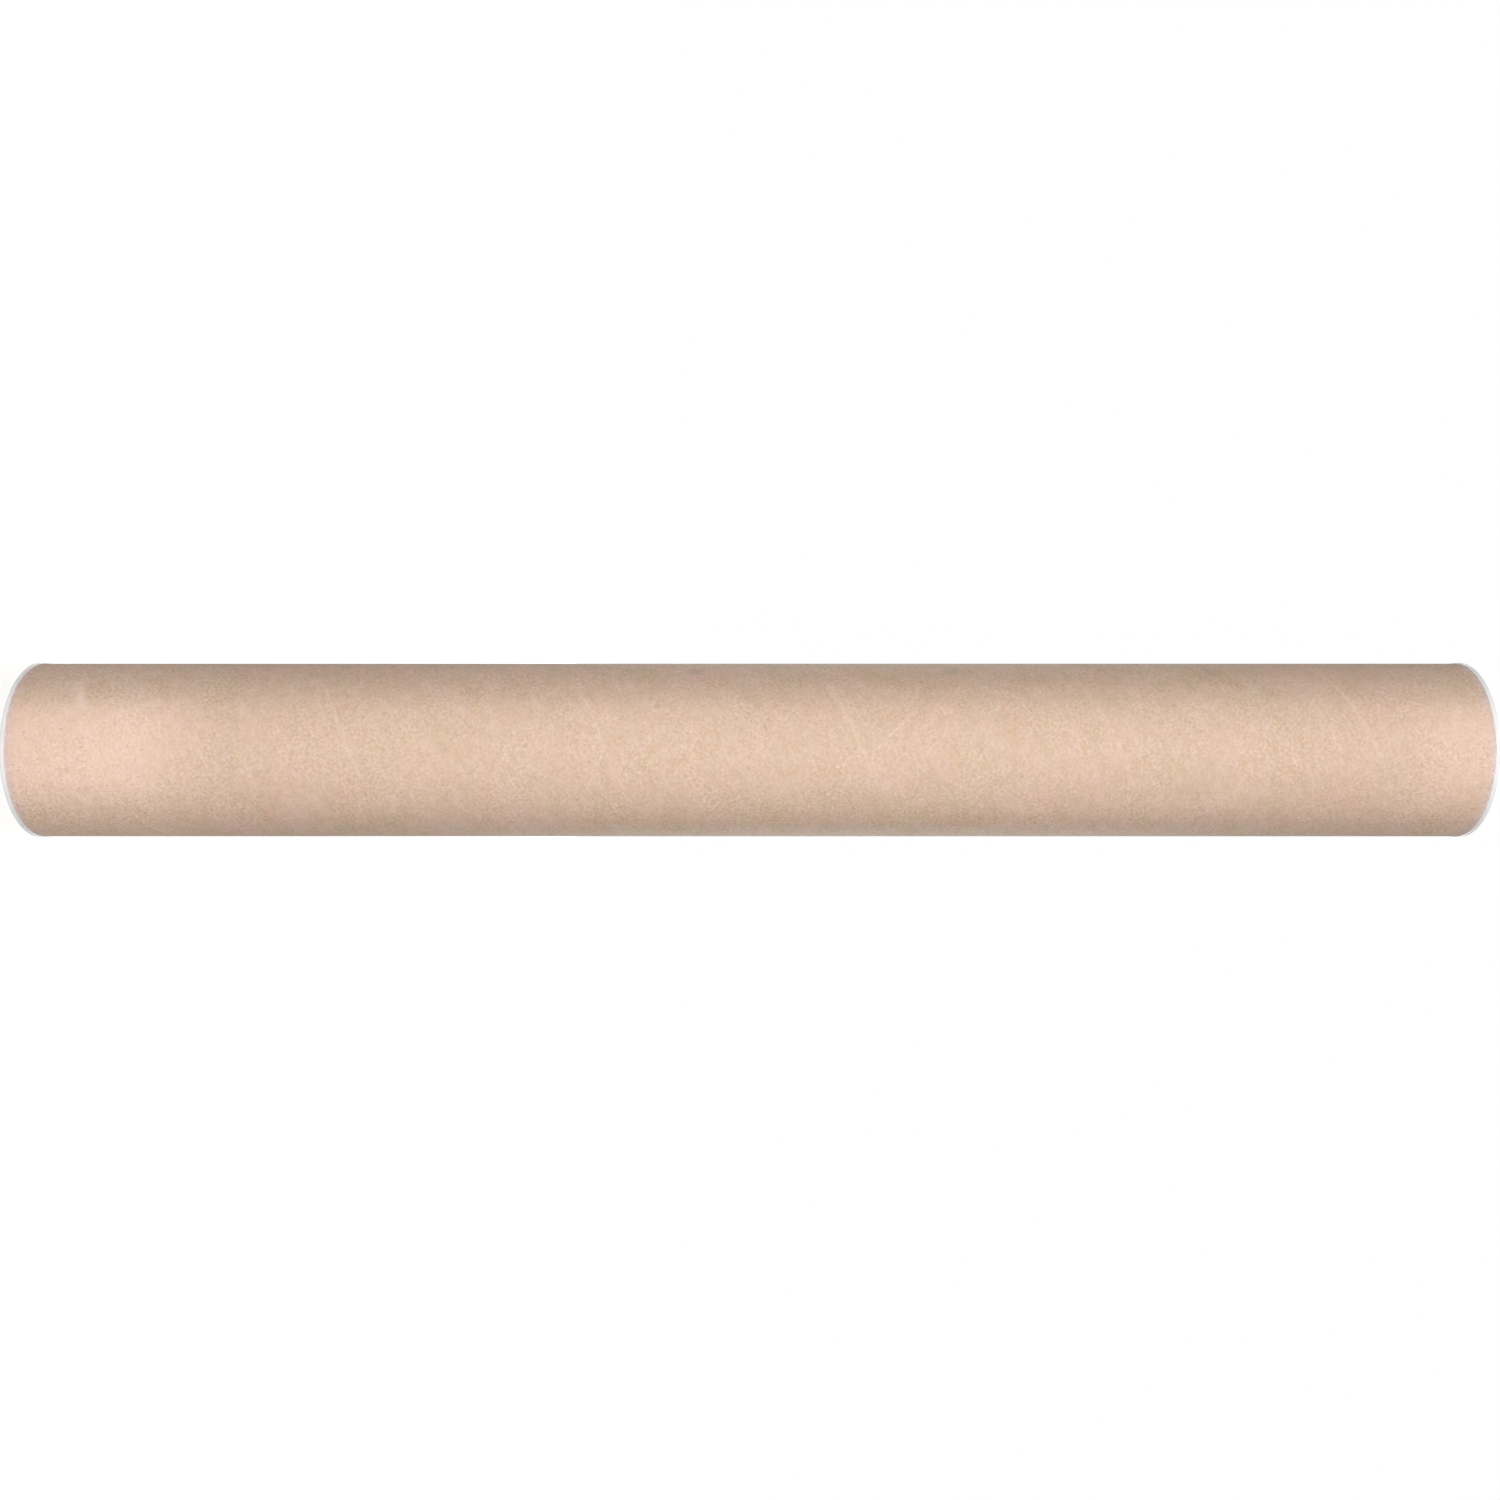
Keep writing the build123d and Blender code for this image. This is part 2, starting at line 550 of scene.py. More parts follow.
    def shade(self, graph: ShaderGraph, grain: Wire, fibre: Wire, ends: Wire, side: Wire) -> Wire:
        """How much lighter or darker the paper's grain makes it, most of all down its sides.

        Args:
            graph: The material's graph.
            grain: The grain's noise.
            fibre: The fibres' noise.
            ends: Where the ends are.
            side: Where the tube's left and right sides are.

        Returns:
            The amount, below 0 where the paper is darker.
        """
        fine = graph.ramp(grain, *self.grain_shade) + graph.ramp(fibre, *self.fibre_shade)
        fine = fine * graph.mottle(graph.strip, self.evenness)
        fine = fine * (side * ends * self.corner_grain + side * self.side_grain + 1.0)
        at_side, elsewhere = self.side_blotch
        blotch = graph.mottle(graph.place, self.blotch) * (side * at_side + elsewhere)
        return fine + blotch + graph.mottle(graph.strip, self.flock)

    def end_mask(self, graph: ShaderGraph) -> Wire:
        """Where painted light makes the paper paler, towards both ends.

        Args:
            graph: The material's graph.

        Returns:
            The mask.
        """
        height = graph.axis(graph.place, "Z")
        lower = graph.ramp(height - self.wall.lower_end, *self.lower_fade)
        upper = graph.ramp(self.wall.upper_end - height, *self.upper_fade)
        return graph.most(lower, upper)

    def side_mask(self, graph: ShaderGraph) -> Wire:
        """Where the paper is rougher and patchier, down the tube's left and right sides."""
        begin, end = (share * self.wall.outer_radius for share in self.side_reach)
        return graph.ramp(abs(graph.axis(graph.place, "X")), begin, end)

    def rim_shade_mask(self, graph: ShaderGraph) -> Wire:
        """Where shade is painted on the paper beside each plug's rim, in a narrow ragged band at each end."""
        from_end = graph.from_nearer_end(self.wall.lower_end, self.wall.upper_end)
        return graph.ramp(from_end / graph.mottle(graph.place, self.rim_shade_band), *self.rim_shade_fade)

    def speck_mask(self, graph: ShaderGraph, ends: Wire) -> Wire:
        """Dark bits of bark, and short thin shives between them that show most near the ends.

        Args:
            graph: The material's graph.
            ends: Where the ends are.

        Returns:
            The mask.
        """
        bark = graph.specks(graph.drawn_out(self.bark_stretch), self.bark)
        shives = graph.specks(graph.vector("MULTIPLY", graph.place, self.shive_squeeze), self.shives)
        crowding = ends * self.shive_crowding + self.shives.strength
        return graph.most(bark * self.bark.strength, shives * crowding)

    def surface_point(self, picture_up: float, height: float) -> Point:
        """A point on the side that the camera sees, by its place up the picture and its height."""
        return (-picture_up, -math.sqrt(self.wall.outer_radius**2 - picture_up**2), height)

    def seam_point(self, picture_up: float, above: float) -> Point:
        """A point over the lowest seam that the camera sees, by its place up the picture."""
        turns = math.asin(picture_up / self.wall.outer_radius) / FULL_TURN
        return self.surface_point(picture_up, self.wall.near_seam - self.wall.pitch * turns + above)

    def seam_fibre_and_highlight_mask(self, graph: ShaderGraph, fray: Wire) -> Wire:
        """The seam's frayed edges, in a ragged band that wanders, and its shallow groove: raw fibre with a
        painted highlight that fades towards the tube's sides, and painted light in the groove that lifts its
        shade.

        Args:
            graph: The material's graph.
            fray: The noise that breaks up raw fibre.

        Returns:
            The mask.
        """
        width = self.wall.strip_advance
        across = graph.axis(graph.strip, "Y")
        from_seam = across - graph.math("GREATER_THAN", across, width / 2) * width
        wander = graph.noise(graph.place, self.wander)
        moved = abs((wander - 0.5) * self.seam_wander + from_seam)
        nearness = graph.math("SUBTRACT", 1.0, moved / graph.ramp(fray, *self.seam_reach), clamp=True)
        band = graph.math("POWER", nearness, self.seam_falloff) * graph.ramp(fray, *self.seam_strength)
        # painted light in the groove, which lifts its shade
        groove = graph.ramp(abs(from_seam), *self.groove_light_fade) * graph.ramp(wander, *self.groove_light_strength)
        seam = graph.most(band, groove)
        # painted highlight: the seam fades towards the sides, away from the light on the front
        for highlight_side in self.seam_highlight_sides:
            seam = seam * graph.ramp(graph.axis(graph.place, "X"), *highlight_side)
        return seam

    def fibre_and_highlight_mask(self, graph: ShaderGraph) -> Wire:
        """Raw, paler fibre: along the seam, where it is also a painted highlight with painted light in the
        groove, in a scuff on the first seam, and in two scratches.

        Args:
            graph: The material's graph.

        Returns:
            The mask.
        """
        fray = graph.noise(graph.place, self.fray)
        broken = graph.ramp(fray, *self.broken)
        pale = self.seam_fibre_and_highlight_mask(graph, fray)
        marks = [(self.seam_point, self.scuff)]
        marks += [(self.surface_point, scratch) for scratch in self.scratches]
        for point, mark in marks:
            away = graph.distance_to_line(point(*mark.begin), point(*mark.end))
            pale = graph.most(pale, graph.ramp(away / mark.width, 0.1, 1.0, mark.strength, 0.0) * broken)
        return pale

    def smudge_mask(self, graph: ShaderGraph) -> Wire:
        """Soft, darker smudges along one side of the tube, in a faint darker streak.

        Args:
            graph: The material's graph.

        Returns:
            The mask.
        """
        from_streak = abs(graph.axis(graph.place, "X") + self.dark_streak_side)
        dark = graph.ramp(from_streak, *self.dark_streak_fade)
        for picture_up, height, reach in self.smudges:
            middle = self.surface_point(picture_up, height)
            away = graph.vector("DISTANCE", graph.place, middle, output="Value")
            dark = graph.most(graph.ramp(away / reach, *self.smudge_fade), dark)
        return dark * graph.mottle(graph.place, self.smear)


@dataclass(frozen=True)
class CoreBoard(Finish):
    """The bore's ply: unbleached board, greyer and rougher than the outer paper."""

    name: ClassVar[str] = "core_board"
    strip_width: float
    light: Colour = (0.560, 0.415, 0.300, 1.0)
    dark: Colour = (0.430, 0.320, 0.235, 1.0)
    shive: Colour = (0.200, 0.150, 0.105, 1.0)
    glue: Colour = (0.300, 0.225, 0.160, 1.0)
    cloud: Blobs = Blobs(millimetres(22), 3.0, 0.6)
    grain: Blobs = Blobs(millimetres(1.3), 3.0, 0.65)
    fibre: Blobs = Blobs(millimetres(0.3), 3.0, 0.6)
    grain_stretch: float = 2.0
    fibre_stretch: float = 9.0
    specks: Specks = Specks(millimetres(3.0), 0.13, 0.6)
    speck_stretch: float = 1.8
    tone: Step = Step(0.35, 0.65)
    fibre_tone: Step = Step(0.45, 0.8, 0.0, 0.25)
    glue_fade: Step = Step(0.0, millimetres(1.2), 0.6, 0.0)
    grain_depth: float = millimetres(0.09)
    fibre_depth: float = millimetres(0.04)
    roughness: Step = Step(0.3, 0.7, 0.90, 0.78)
    gloss: float = 0.3

    def surface(self, graph: ShaderGraph) -> dict[str, Any]:
        """Lays out the board: its cloudy colour, its fibres and specks, and the glue at its seam.

        Args:
            graph: The material's graph.

        Returns:
            What goes into each of the shader's inputs.
        """
        grain = graph.noise(graph.drawn_out(self.grain_stretch), self.grain)
        fibre = graph.noise(graph.drawn_out(self.fibre_stretch), self.fibre)
        tone = grain * 0.5 + graph.noise(graph.place, self.cloud) * 0.5
        specks = graph.specks(graph.drawn_out(self.speck_stretch), self.specks)
        across = graph.axis(graph.strip, "Y")
        from_seam = graph.least(across, self.strip_width - across)
        glued = graph.ramp(from_seam, *self.glue_fade)
        colour = graph.blend(graph.ramp(tone, *self.tone), self.dark, self.light)
        colour = graph.blend(graph.ramp(fibre, *self.fibre_tone), colour, self.light)
        colour = graph.blend(specks * self.specks.strength, colour, self.shive)
        return {
            "Base Color": graph.blend(glued, colour, self.glue),
            "Roughness": graph.ramp(grain, *self.roughness),
            "Normal": graph.relief((grain, self.grain_depth), (fibre, self.fibre_depth)),
            "Specular IOR Level": self.gloss,
        }


@dataclass(frozen=True)
class CutEdge(Finish):
    """The wall's sawn end: the plies side by side, each of its own tone, with glue lines between."""

    name: ClassVar[str] = "cut_edge"
    inner_radius: float
    ply: float
    light: Colour = (0.640, 0.490, 0.360, 1.0)
    dark: Colour = (0.430, 0.320, 0.230, 1.0)
    glue: Colour = (0.240, 0.180, 0.125, 1.0)
    waver: Blobs = Blobs(millimetres(2.5))
    fuzz: Blobs = Blobs(millimetres(0.35), 3.0, 0.7)
    waver_depth: float = 0.2
    ply_contrast: float = 0.55
    glue_line: Step = Step(0.36, 0.5)
    glue_strength: float = 0.7
    depth: float = millimetres(0.08)
    roughness: float = 0.92
    gloss: float = 0.2

    def surface(self, graph: ShaderGraph) -> dict[str, Any]:
        """Lays out the plies, numbered outwards from the bore, and the glue between each two.

        Args:
            graph: The material's graph.

        Returns:
            What goes into each of the shader's inputs.
        """
        waver = graph.noise(graph.place, self.waver) * (self.waver_depth * self.ply)
        plies = (waver + (graph.from_axis - self.inner_radius)) / self.ply
        number = graph.math("FLOOR", plies)
        own_tone = graph.add("ShaderNodeTexWhiteNoise", {"W": number}, "Value", noise_dimensions="1D")
        fuzz = graph.noise(graph.place, self.fuzz)
        from_middle = abs(graph.math("FRACT", plies) - 0.5)
        glued = graph.ramp(from_middle, *self.glue_line)
        tone = own_tone * self.ply_contrast + fuzz * (1.0 - self.ply_contrast)
        colour = graph.blend(tone, self.dark, self.light)
        return {
            "Base Color": graph.blend(glued * self.glue_strength, colour, self.glue),
            "Normal": graph.relief((fuzz - glued, self.depth)),
            "Roughness": self.roughness,
            "Specular IOR Level": self.gloss,
        }


@dataclass(frozen=True)
class MouldedPlastic(Finish):
    """The plugs' white polyethylene: satin, a little waxy, with faint turning marks from the mould."""

    name: ClassVar[str] = "white_polyethylene"
    rim_radius: float
    lower_face: float
    upper_face: float
    white: Colour = (0.975, 0.975, 0.962, 1.0)
    shaded: Colour = (0.945, 0.945, 0.932, 1.0)
    dust: Colour = (0.700, 0.580, 0.470, 1.0)
    # painted shade on the rim's outer edge
    painted_edge_shade: Colour = (0.560, 0.580, 0.545, 1.0)
    cloud: Blobs = Blobs(millimetres(16))
    cloud_tone: Step = Step(0.3, 0.7)
    dusting: Mottle = Mottle(Blobs(millimetres(2.2), 4.0, 0.7), Step(0.62, 0.80, 0.0, 0.22))
    skin: Blobs = Blobs(millimetres(0.5))
    edge_shade_on_face: Step = Step(millimetres(0.15), millimetres(0.75), 1.0, 0.0)
    edge_shade_on_side: Step = Step(millimetres(0.225), millimetres(0.75), 0.5, 0.0)
    mark_pitch: float = millimetres(0.55)
    mark_depth: float = millimetres(0.002)
    skin_depth: float = millimetres(0.012)
    roughness: Step = Step(0.3, 0.7, 0.36, 0.50)
    scatter: float = 0.12
    scatter_colours: Point = (1.0, 1.0, 0.9)
    scatter_reach: float = millimetres(1.2)
    coat: float = 0.7
    coat_roughness: float = 0.3

    def surface(self, graph: ShaderGraph) -> dict[str, Any]:
        """Lays out the plastic: its faint clouds and dust, painted shade on the rim's outer edge, and the
        mould's turning marks.

        Args:
            graph: The material's graph.

        Returns:
            What goes into each of the shader's inputs.
        """
        cloud = graph.noise(graph.place, self.cloud)
        colour = graph.blend(graph.ramp(cloud, *self.cloud_tone), self.shaded, self.white)
        colour = graph.blend(graph.mottle(graph.place, self.dusting), colour, self.dust)
        marks = graph.math("SINE", graph.from_axis * (FULL_TURN / self.mark_pitch))
        skin = graph.noise(graph.place, self.skin)
        return {
            # painted shade on the rim's outer edge
            "Base Color": graph.blend(self.edge_shade_mask(graph), colour, self.painted_edge_shade),
            "Roughness": graph.ramp(cloud, *self.roughness),
            "Normal": graph.relief((marks, self.mark_depth), (skin, self.skin_depth)),
            "Subsurface Weight": self.scatter,
            "Subsurface Radius": self.scatter_colours,
            "Subsurface Scale": self.scatter_reach,
            "Coat Weight": self.coat,
            "Coat Roughness": self.coat_roughness,
        }

    def edge_shade_mask(self, graph: ShaderGraph) -> Wire:
        """The fine grey line of painted shade round the rim's outer edge, where its round turns away."""
        line = graph.ramp(graph.from_nearer_end(self.lower_face, self.upper_face), *self.edge_shade_on_side)
        return line * graph.ramp(self.rim_radius - graph.from_axis, *self.edge_shade_on_face)


# Geometry nodes


@dataclass
class Recipe(Graph):
    """A geometry node tree with named inputs, and the plain mesh that it makes."""

    values: dict[str, Any] = field(default_factory=dict)
    inlet: bpy.types.Node | None = None

    @classmethod
    def start(cls, name: str, inputs: dict[str, Any], takes_mesh: bool = False) -> "Recipe":
        """Starts a tree.

        Args:
            name: The tree's name.
            inputs: Each input's name and its value, which also says what kind of input it is.
            takes_mesh: Whether the tree works on the object's own mesh.

        Returns:
            The recipe, with its inputs ready to use.
        """
        tree = bpy.data.node_groups.new(name, "GeometryNodeTree")
        recipe = cls(tree)
        for way in ("INPUT", "OUTPUT") if takes_mesh else ("OUTPUT",):
            tree.interface.new_socket("Geometry", in_out=way, socket_type="NodeSocketGeometry")
        for label, value in inputs.items():
            made = tree.interface.new_socket(label, in_out="INPUT", socket_type=INPUT_KINDS[type(value)])
            recipe.values[made.identifier] = value
        recipe.inlet = recipe.node("NodeGroupInput")
        return recipe

    def given(self) -> list[Wire]:
        """The tree's named inputs, in their order."""
        return [Wire(self, socket) for socket in self.inlet.outputs if socket.identifier in self.values]

    def finish(self, geometry: Wire) -> None:
        """Links the tree's end to its output."""
        self.node("NodeGroupOutput", {"Geometry": geometry})

    def group(self, other: "Recipe", *feeds: Any) -> Wire:
        """Uses another recipe as one node of this one, its inputs fed in their order."""
        return self.add("GeometryNodeGroup", dict(enumerate(feeds)), "Geometry", node_tree=other.tree)

    def join(self, *parts: Wire) -> Wire:
        """Joins geometries into one.

        Args:
            *parts: The geometries.

        Returns:
            All of them as one.
        """
        joined = self.node("GeometryNodeJoinGeometry")
        for part in parts:
            self.feed(joined.inputs[0], part)
        return self.wire(joined)

    def painted(self, geometry: Wire, material: bpy.types.Material) -> Wire:
        """Gives a geometry its material."""
        return self.add("GeometryNodeSetMaterial", {"Geometry": geometry, "Material": material})

    def smoothed(self, geometry: Wire, sharp_angle: float) -> Wire:
        """Shades a geometry smooth, but for the edges that bend by more than an angle.

        Args:
            geometry: The geometry.
            sharp_angle: The angle, in radians.

        Returns:
            The geometry, with its sharp edges marked.
        """
        smooth = self.add("GeometryNodeSetShadeSmooth", {"Geometry": geometry, "Shade Smooth": True})
        bend = self.add("GeometryNodeInputMeshEdgeAngle", output="Unsigned Angle")
        sharp = self.math("GREATER_THAN", bend, sharp_angle)
        feeds = {"Geometry": smooth, "Selection": sharp, "Shade Smooth": False}
        return self.add("GeometryNodeSetShadeSmooth", feeds, domain="EDGE")

    def numbered_grid(self, last_column: Wire, last_row: Wire) -> list[Wire]:
        """A flat grid whose points know their column and their row.

        Args:
            last_column: The number of the last column, where the first is 0.
            last_row: The number of the last row.

        Returns:
            The grid, each point's column and each point's row.
        """
        grid = self.add("GeometryNodeMeshGrid", {
            "Size X": last_column,
            "Size Y": last_row,
            "Vertices X": last_column + 1.0,
            "Vertices Y": last_row + 1.0,
        })
        spot = self.add("GeometryNodeInputPosition")
        kept = self.node("GeometryNodeCaptureAttribute", {"Geometry": grid}, domain="POINT")
        for label in ("Column", "Row"):
            kept.capture_items.new("FLOAT", label)
        for label, axis, last in (("Column", "X", last_column), ("Row", "Y", last_row)):
            number = self.math("ROUND", self.axis(spot, axis) + last * 0.5)
            self.feed(kept.inputs[label], number)
        return [self.wire(kept, label) for label in ("Geometry", "Column", "Row")]

    def turned_to(self, geometry: Wire, radius: Wire, angle: Wire, height: Wire) -> Wire:
        """Moves a geometry's points to where they belong round the axis.

        Args:
            geometry: The geometry.
            radius: Each point's distance from the axis.
            angle: Its angle round the axis.
            height: Its height.

        Returns:
            The geometry with its points moved.
        """
        place = self.add("ShaderNodeCombineXYZ", {
            "X": radius * self.math("COSINE", angle),
            "Y": radius * self.math("SINE", angle),
            "Z": height,
        })
        return self.add("GeometryNodeSetPosition", {"Geometry": geometry, "Position": place})

    def make(self, piece: bpy.types.Object) -> bpy.types.Mesh:
        """Runs the tree on an object, with the values of its inputs.

        Args:
            piece: The object that carries the modifier while the tree runs.

        Returns:
            The plain mesh that comes out. The object is left with no modifier.
        """
        modifier = piece.modifiers.new(self.tree.name, "NODES")
        modifier.node_group = self.tree
        for identifier, value in self.values.items():
            modifier[identifier] = value
        graph = bpy.context.evaluated_depsgraph_get()
        made = piece.evaluated_get(graph)
        mesh = bpy.data.meshes.new_from_object(made, preserve_all_data_layers=True, depsgraph=graph)
        piece.modifiers.remove(modifier)
        return mesh


def new_piece(name: str, mesh: bpy.types.Mesh | None = None) -> bpy.types.Object:
    """Puts a new mesh object in the scene, at the origin.

    Args:
        name: The object's name.
        mesh: Its mesh, or None for an empty one.

    Returns:
        The object.
    """
    piece = bpy.data.objects.new(name, mesh or bpy.data.meshes.new(name))
    bpy.context.scene.collection.objects.link(piece)
    return piece


# The wound wall


@dataclass
class WoundWall:
    """The paperboard tube: a strip wound into a wall, its seams open, its ends sawn square."""

    lower_end: float = millimetres(2.0)
    length: float = millimetres(650.0)
    inner_radius: float = millimetres(38.1)
    ply: float = millimetres(0.35)
    ply_count: int = 5
    strip_advance: float = millimetres(102.3)
    outer_gap: float = millimetres(0.7)
    outer_groove: float = millimetres(0.14)
    bore_gap: float = millimetres(0.5)
    outer_start: float = math.radians(148.0)
    bore_start: float = math.radians(298.0)
    columns: int = 160
    rows: int = 17
    lip_rows: int = 3
    sawn_groove: float = 0.2
    weld: float = millimetres(0.02)
    sharp_angle: float = math.radians(35.0)

    @property
    def outer_radius(self) -> float:
        """The wall's outer radius."""
        return self.inner_radius + self.ply * self.ply_count

    @property
    def upper_end(self) -> float:
        """Where the wall's upper end is."""
        return self.lower_end + self.length

    @property
    def winding_angle(self) -> float:
        """How steeply the strip climbs round the outer face."""
        return math.asin(self.strip_advance / (FULL_TURN * self.outer_radius))

    @property
    def pitch(self) -> float:
        """How far the strip climbs in one turn."""
        return self.strip_advance / math.cos(self.winding_angle)

    @property
    def near_seam(self) -> float:
        """The height at which the outer seam first crosses the side that the camera faces."""
        camera_side = 0.75 * FULL_TURN
        return self.lower_end + self.pitch * (camera_side - self.outer_start) / FULL_TURN

    def strip_recipe(self) -> Recipe:
        """A face of the wall as one long strip: a sheared grid wound up, with a seam between its turns.

        The strip starts a turn below the lower end and is cut off square at both ends. Its first
        and last rows are the seam's lips, which the groove lets into the wall.

        Returns:
            The recipe.
        """
        lengths = ("Radius", "Groove", "Gap", "Pitch", "Start angle", "Lower end", "Upper end")
        counts = ("Columns", "Rows")
        recipe = Recipe.start("spiral_strip", dict.fromkeys(lengths, 0.0) | dict.fromkeys(counts, 1))
        face, groove, gap, pitch, start, lower, upper, columns, rows = recipe.given()
        step = recipe.math("DIVIDE", FULL_TURN, columns)
        first = recipe.math("FLOOR", (start - FULL_TURN) / step)
        turns = (upper - lower + pitch) / pitch
        last_column = recipe.math("CEIL", turns * columns) + 1.0
        last_row = rows - 1.0
        grid, column, row = recipe.numbered_grid(last_column, last_row)

        # The seam's height where the point is, and the point's way up from it across the strip
        angle = (column + first) * step
        seam = (angle - start) / FULL_TURN * pitch + lower
        lips = self.lip_rows
        lip = gap / (4 * math.cos(self.winding_angle))
        middle_rows = last_row - 2 * lips
        middle_step = (pitch - lip * (2 * lips)) / middle_rows
        past = recipe.most(row - lips, 0.0)
        beyond = recipe.most(past - middle_rows, 0.0)
        across = recipe.least(row, lips) * lip + recipe.least(past, middle_rows) * middle_step + beyond * lip

        # The lips sink into the wall, but for the points that lie on its sawn ends
        raw_height = seam + across
        height = recipe.least(recipe.most(raw_height, lower), upper)
        kept = recipe.math("LESS_THAN", abs(raw_height - height), self.weld)
        above = recipe.math("GREATER_THAN", height, lower + self.weld)
        below = recipe.math("LESS_THAN", height, upper - self.weld)
        from_seam = recipe.least(across, pitch - across)
        share = recipe.math("SUBTRACT", 2.0, from_seam / lip, clamp=True)
        wound = recipe.turned_to(grid, face - share * (kept * above * below) * groove, angle, height)

        # The strip laid flat, for the patterns that follow it
        cosine, sine = math.cos(self.winding_angle), math.sin(self.winding_angle)
        flat = recipe.add("ShaderNodeCombineXYZ", {
            "X": angle * face * cosine + (height - lower) * sine,
            "Y": (height - seam) * cosine,
        })
        feeds = {"Geometry": wound, "Name": STRIP_MAP, "Value": flat}
        mapped = recipe.add("GeometryNodeStoreNamedAttribute", feeds, data_type="FLOAT2", domain="CORNER")
        recipe.finish(mapped)
        return recipe

    def ring_recipe(self) -> Recipe:
        """A sawn end of the wall: a flat ring, with a fine groove where each two plies meet.

        Returns:
            The recipe.
        """
        lengths = ("Outer radius", "Inner radius", "Height", "Groove")
        counts = ("Columns", "Rings")
        recipe = Recipe.start("sawn_end", dict.fromkeys(lengths, 0.0) | dict.fromkeys(counts, 1))
        outer, inner, height, groove, columns, rings = recipe.given()
        grid, column, ring = recipe.numbered_grid(columns, rings)
        share = ring / rings

        # Every other ring, but for the first and the last, lies where two plies meet
        between = recipe.math("COMPARE", recipe.math("MODULO", ring, 2.0), 0.0, 0.1)
        inside = recipe.math("LESS_THAN", abs(share - 0.5), 0.49)
        angle = column * FULL_TURN / columns
        radius = share * (inner - outer) + outer
        recipe.finish(recipe.turned_to(grid, radius, angle, height - between * inside * groove))
        return recipe

    def recipe(self, liner: bpy.types.Material, core: bpy.types.Material, edge: bpy.types.Material) -> Recipe:
        """The whole wall: its outer face, its bore and its two ends, welded into one closed mesh.

        Args:
            liner: The outer paper's material.
            core: The bore's material.
            edge: The sawn ends' material.

        Returns:
            The recipe, with the wall's sizes as its inputs.
        """
        whole = Recipe.start("wound_wall", {
            "Outer radius": self.outer_radius,
            "Inner radius": self.inner_radius,
            "Ply": self.ply,
            "Pitch": self.pitch,
            "Outer groove": self.outer_groove,
            "Outer gap": self.outer_gap,
            "Bore gap": self.bore_gap,
            "Outer start": self.outer_start,
            "Bore start": self.bore_start,
            "Lower end": self.lower_end,
            "Upper end": self.upper_end,
            "Weld": self.weld,
            "Columns": self.columns,
            "Rows": self.rows,
            "Rings": 2 * self.ply_count,
        })
        (outer_radius, inner_radius, ply, pitch, outer_groove, outer_gap, bore_gap, outer_start,
         bore_start, lower, upper, weld, columns, rows, rings) = whole.given()
        strip = self.strip_recipe()
        ring = self.ring_recipe()
        extent = (lower, upper, columns, rows)
        outer = whole.group(strip, outer_radius, outer_groove, outer_gap, pitch, outer_start, *extent)
        bore = whole.group(strip, inner_radius, ply * -1.0, bore_gap, pitch, bore_start, *extent)
        top = whole.group(ring, outer_radius, inner_radius, upper, ply * self.sawn_groove, columns, rings)
        base = whole.group(ring, outer_radius, inner_radius, lower, ply * -self.sawn_groove, columns, rings)
        bore, base = (whole.add("GeometryNodeFlipFaces", {"Mesh": part}) for part in (bore, base))
        faces = ((outer, liner), (bore, core), (whole.join(top, base), edge))
        joined = whole.join(*(whole.painted(part, material) for part, material in faces))
        welded = whole.add("GeometryNodeMergeByDistance", {"Geometry": joined, "Distance": weld})
        crisp = whole.smoothed(welded, self.sharp_angle)
        whole.finish(whole.add("GeometryNodeRealizeInstances", {"Geometry": crisp}))
        return whole

    def build(self) -> bpy.types.Object:
        """Builds the tube, dresses it, and puts it in the place of its CAD node.

        Returns:
            The finished tube.
        """
        finishes = (KraftLiner(self), CoreBoard(self.strip_advance), CutEdge(self.inner_radius, self.ply))
        piece = new_piece("wound_tube")
        piece.data = self.recipe(*(finish.material() for finish in finishes)).make(piece)
        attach(piece, "tube")
        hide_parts("tube")
        return piece


# The plugs


